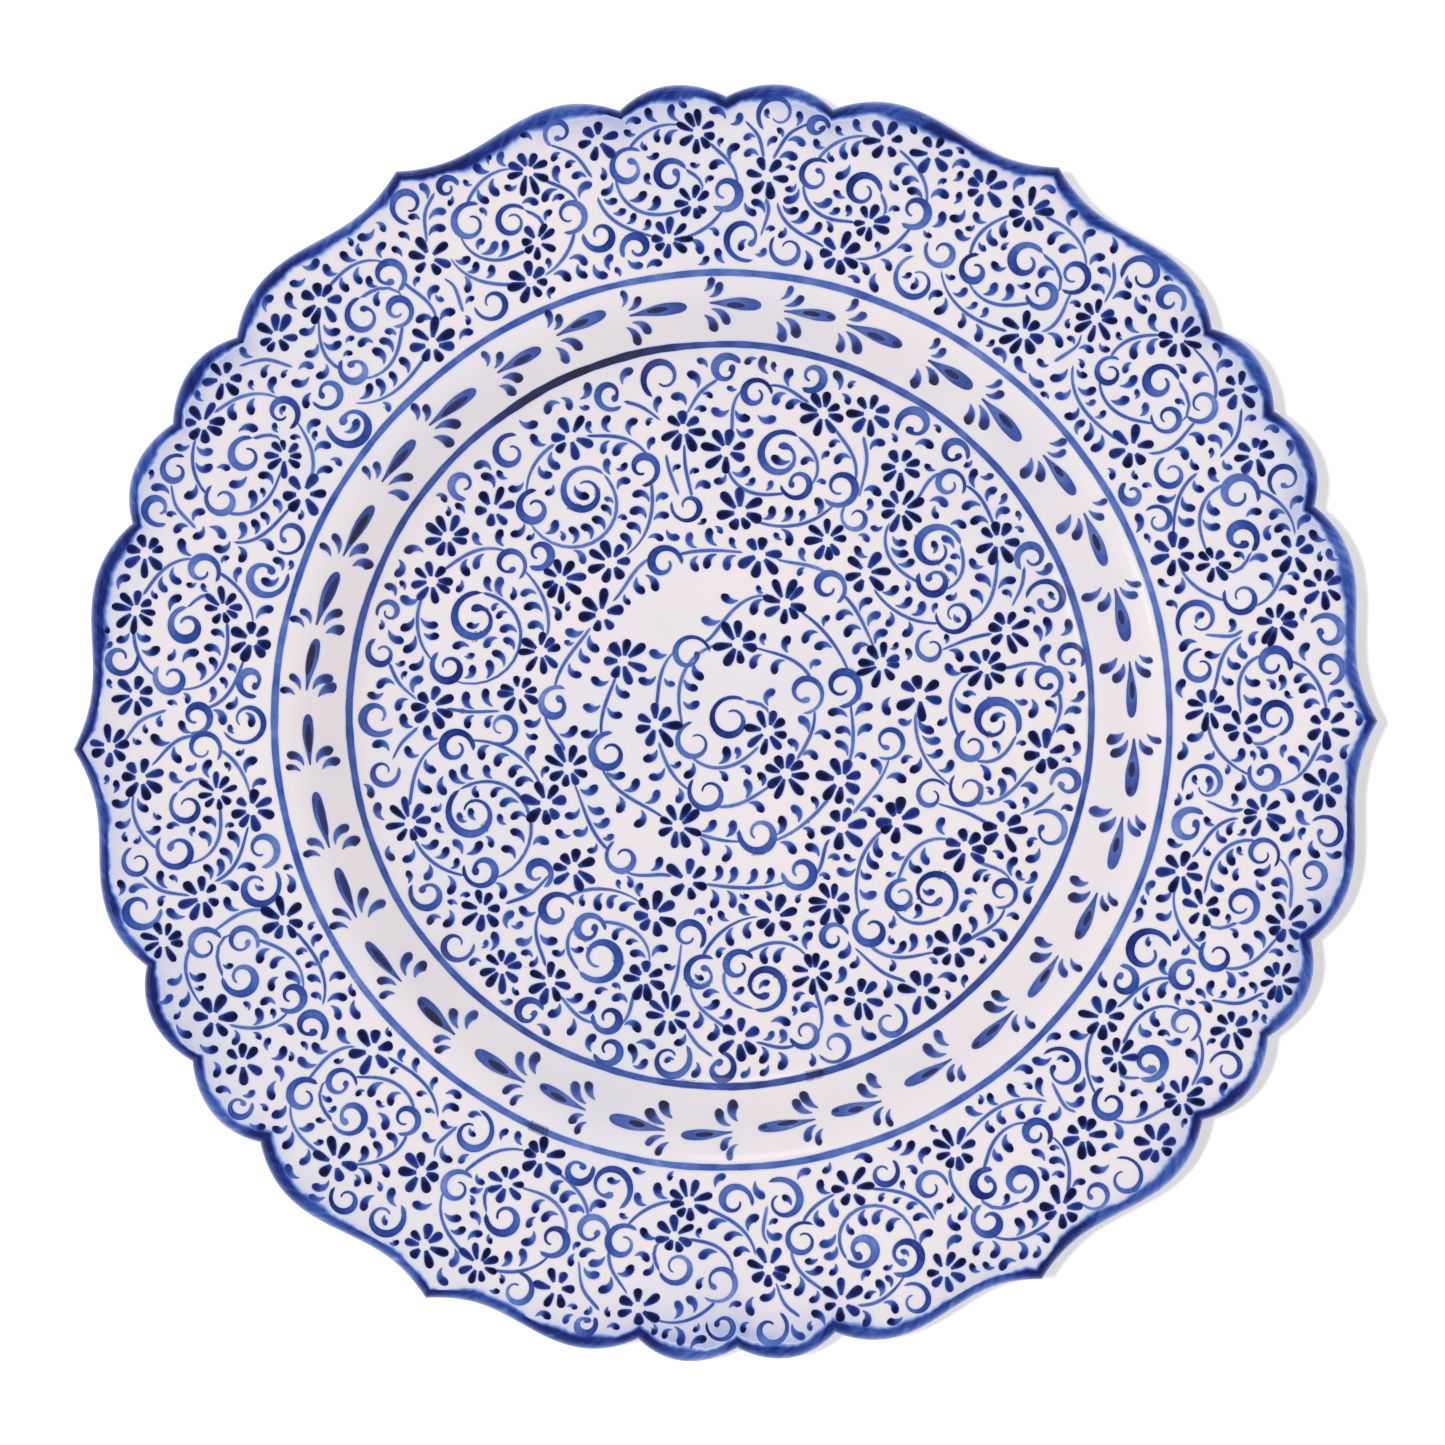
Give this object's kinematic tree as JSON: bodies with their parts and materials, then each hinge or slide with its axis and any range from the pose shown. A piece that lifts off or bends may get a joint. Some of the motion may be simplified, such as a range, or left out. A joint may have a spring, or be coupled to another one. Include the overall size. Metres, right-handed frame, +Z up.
{
  "type": "plate",
  "caption": "Round ceramic plate with a bracket-lobed rim, a shallow well and a foot ring, glazed white and painted with blue scrollwork, to serve from or to display.",
  "frame": {"origin": "on the plate's axis, on the surface that its foot ring stands on", "axes": "+Z up out of the painted face, +X towards one of the six pointed tips of the rim"},
  "size_m": [0.3031, 0.2966, 0.0306],
  "materials": {
    "fired_clay": "matt, unglazed",
    "white_slip": "matt white slip under the glaze",
    "clear_glaze": "glossy clear glaze over white slip",
    "cobalt_paint": "cobalt brushwork under glossy clear glaze"
  },
  "bodies": {
    "root": {"clay_body": "fired_clay", "foot_ring": "fired_clay", "white_slip": "white_slip", "face_glaze": "clear_glaze", "lip_glaze": "cobalt_paint", "back_glaze": "clear_glaze", "recess_glaze": "clear_glaze"}
  },
  "joints": []
}
